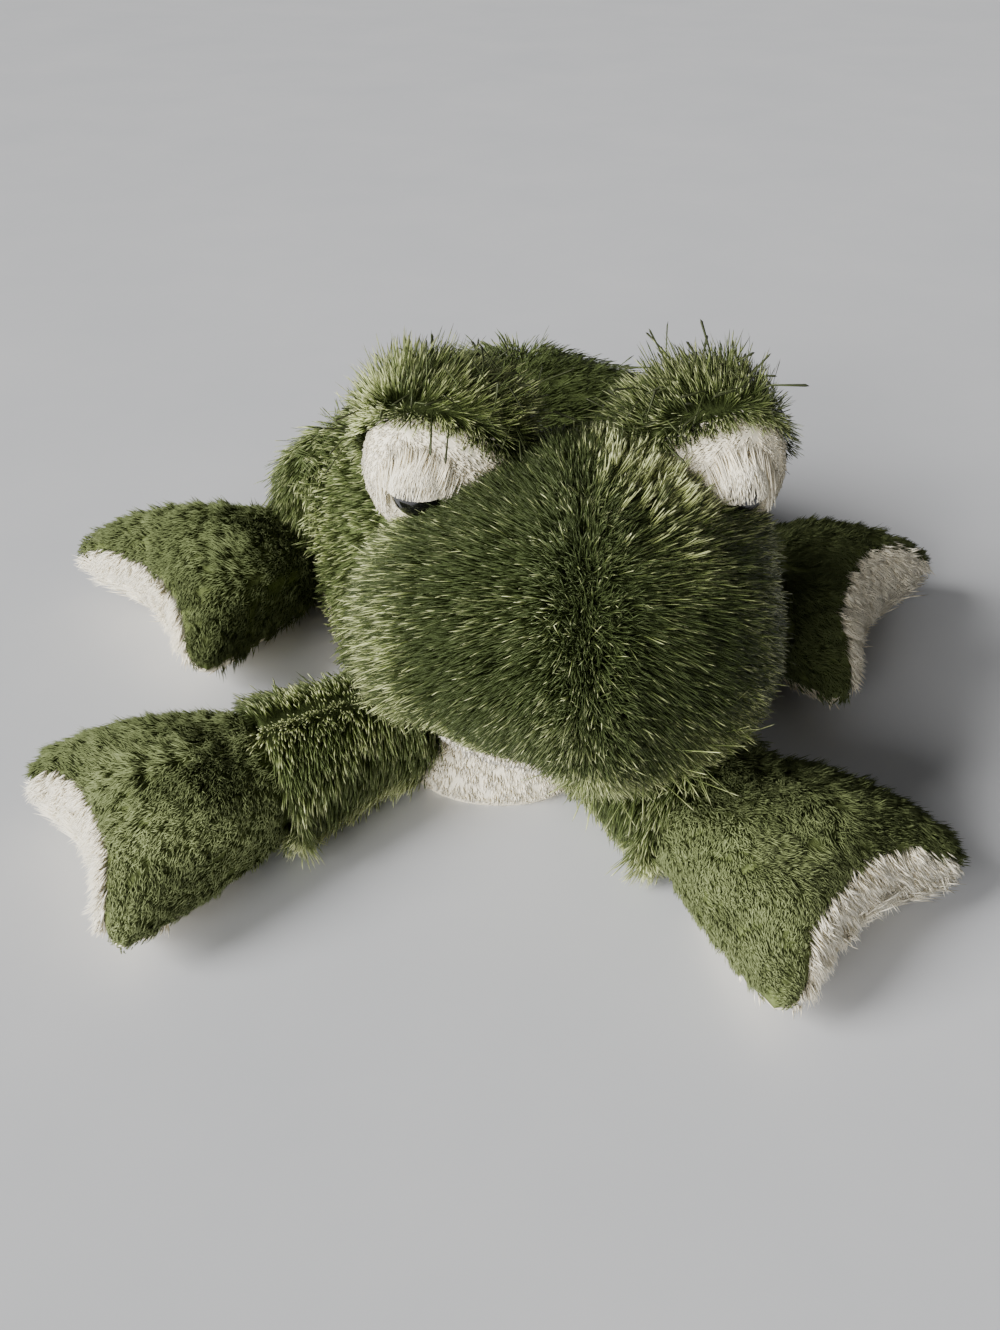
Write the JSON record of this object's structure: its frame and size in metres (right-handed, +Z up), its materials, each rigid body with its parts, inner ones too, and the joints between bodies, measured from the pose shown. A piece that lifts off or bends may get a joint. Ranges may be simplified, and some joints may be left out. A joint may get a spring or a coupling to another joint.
{
  "type": "plush frog",
  "caption": "Small beanbag plush frog lying on its belly, with a long-pile green head and back, raised eye mounds, spread limbs and soft webbed hands and feet with white soles.",
  "frame": {"origin": "on the flat of the belly, under the middle of the torso", "axes": "+Z up, -Y the way the frog looks, +X its left"},
  "size_m": [0.1413, 0.1256, 0.0529],
  "materials": {
    "shag_green": "long shiny pile",
    "plush_green": "short soft pile",
    "plush_white": "short soft pile",
    "fibrefill": "loose fibre",
    "bag_lining": "plain weave",
    "pellets": "matte",
    "eye_black": "glossy",
    "washer_plastic": "matte"
  },
  "bodies": {
    "torso": {"back_left_panel": "shag_green", "back_right_panel": "shag_green", "belly_panel": "plush_white", "body_stuffing": "fibrefill", "pellet_bag": "bag_lining", "pellet_fill": "pellets"},
    "neck": {"neck_wad": "fibrefill"},
    "head": {"head_left_panel": "shag_green", "head_right_panel": "shag_green", "chin_panel": "plush_white", "head_stuffing": "fibrefill", "left_eye_white": "plush_white", "left_eyelid": "shag_green", "left_eye_washer": "washer_plastic", "left_eye_stuffing": "fibrefill", "left_eye": "eye_black", "right_eye_white": "plush_white", "right_eyelid": "shag_green", "right_eye_washer": "washer_plastic", "right_eye_stuffing": "fibrefill", "right_eye": "eye_black"},
    "left_shoulder": {"left_shoulder_wad": "fibrefill"},
    "left_arm": {"left_sleeve": "shag_green", "left_arm_stuffing": "fibrefill"},
    "left_hand": {"left_hand_top": "plush_green", "left_hand_sole": "plush_white", "left_hand_stuffing": "fibrefill"},
    "left_hip": {"left_hip_wad": "fibrefill"},
    "left_leg": {"left_thigh": "shag_green", "left_leg_stuffing": "fibrefill"},
    "left_foot": {"left_foot_top": "plush_green", "left_foot_sole": "plush_white", "left_foot_stuffing": "fibrefill"},
    "right_shoulder": {"right_shoulder_wad": "fibrefill"},
    "right_arm": {"right_sleeve": "shag_green", "right_arm_stuffing": "fibrefill"},
    "right_hand": {"right_hand_top": "plush_green", "right_hand_sole": "plush_white", "right_hand_stuffing": "fibrefill"},
    "right_hip": {"right_hip_wad": "fibrefill"},
    "right_leg": {"right_thigh": "shag_green", "right_leg_stuffing": "fibrefill"},
    "right_foot": {"right_foot_top": "plush_green", "right_foot_sole": "plush_white", "right_foot_stuffing": "fibrefill"}
  },
  "joints": [
    {"name": "neck_turn", "type": "hinge", "parent": "torso", "child": "neck", "pos_m": [0.0085, -0.015, 0.02], "axis": [0, 0, 1], "range_deg": [-14, 14]},
    {"name": "neck_nod", "type": "hinge", "parent": "neck", "child": "head", "pos_m": [0.0085, -0.015, 0.02], "axis": [-0.9976, -0.0698, 0], "range_deg": [0, 12]},
    {"name": "left_shoulder_sweep", "type": "hinge", "parent": "torso", "child": "left_shoulder", "pos_m": [0.015, -0.037, 0.0075], "axis": [0, 0, 1], "range_deg": [-5, 15]},
    {"name": "left_shoulder_lift", "type": "hinge", "parent": "left_shoulder", "child": "left_arm", "pos_m": [0.015, -0.037, 0.0075], "axis": [-0.6947, -0.7193, 0], "range_deg": [-9, 0]},
    {"name": "left_wrist_bend", "type": "hinge", "parent": "left_arm", "child": "left_hand", "pos_m": [0.02903, -0.05055, 0.0075], "axis": [-0.7193, -0.6947, 0], "range_deg": [-20, 30]},
    {"name": "left_hip_sweep", "type": "hinge", "parent": "torso", "child": "left_hip", "pos_m": [0.0275, 0.015, 0.0133], "axis": [0, 0, 1], "range_deg": [-2, 18]},
    {"name": "left_hip_lift", "type": "hinge", "parent": "left_hip", "child": "left_leg", "pos_m": [0.0275, 0.015, 0.0133], "axis": [-0.4695, -0.8829, 0], "range_deg": [-6, 14]},
    {"name": "left_ankle_bend", "type": "hinge", "parent": "left_leg", "child": "left_foot", "pos_m": [0.03375, 0.00417, 0.0078], "axis": [-0.4695, -0.8829, 0], "range_deg": [-8, 12]},
    {"name": "right_shoulder_sweep", "type": "hinge", "parent": "torso", "child": "right_shoulder", "pos_m": [-0.015, -0.037, 0.0075], "axis": [0, 0, -1], "range_deg": [-12, 12]},
    {"name": "right_shoulder_lift", "type": "hinge", "parent": "right_shoulder", "child": "right_arm", "pos_m": [-0.015, -0.037, 0.0075], "axis": [-0.5446, 0.8387, 0], "range_deg": [-9, 0]},
    {"name": "right_wrist_bend", "type": "hinge", "parent": "right_arm", "child": "right_hand", "pos_m": [-0.03135, -0.04762, 0.0075], "axis": [-0.6018, 0.7986, 0], "range_deg": [-20, 30]},
    {"name": "right_hip_sweep", "type": "hinge", "parent": "torso", "child": "right_hip", "pos_m": [-0.0275, 0.015, 0.0133], "axis": [0, 0, -1], "range_deg": [-2, 18]},
    {"name": "right_hip_lift", "type": "hinge", "parent": "right_hip", "child": "right_leg", "pos_m": [-0.0275, 0.015, 0.0133], "axis": [-0.682, 0.7314, 0], "range_deg": [-6, 14]},
    {"name": "right_ankle_bend", "type": "hinge", "parent": "right_leg", "child": "right_foot", "pos_m": [-0.03774, 0.00783, 0.0078], "axis": [-0.682, 0.7314, 0], "range_deg": [-8, 12]}
  ]
}
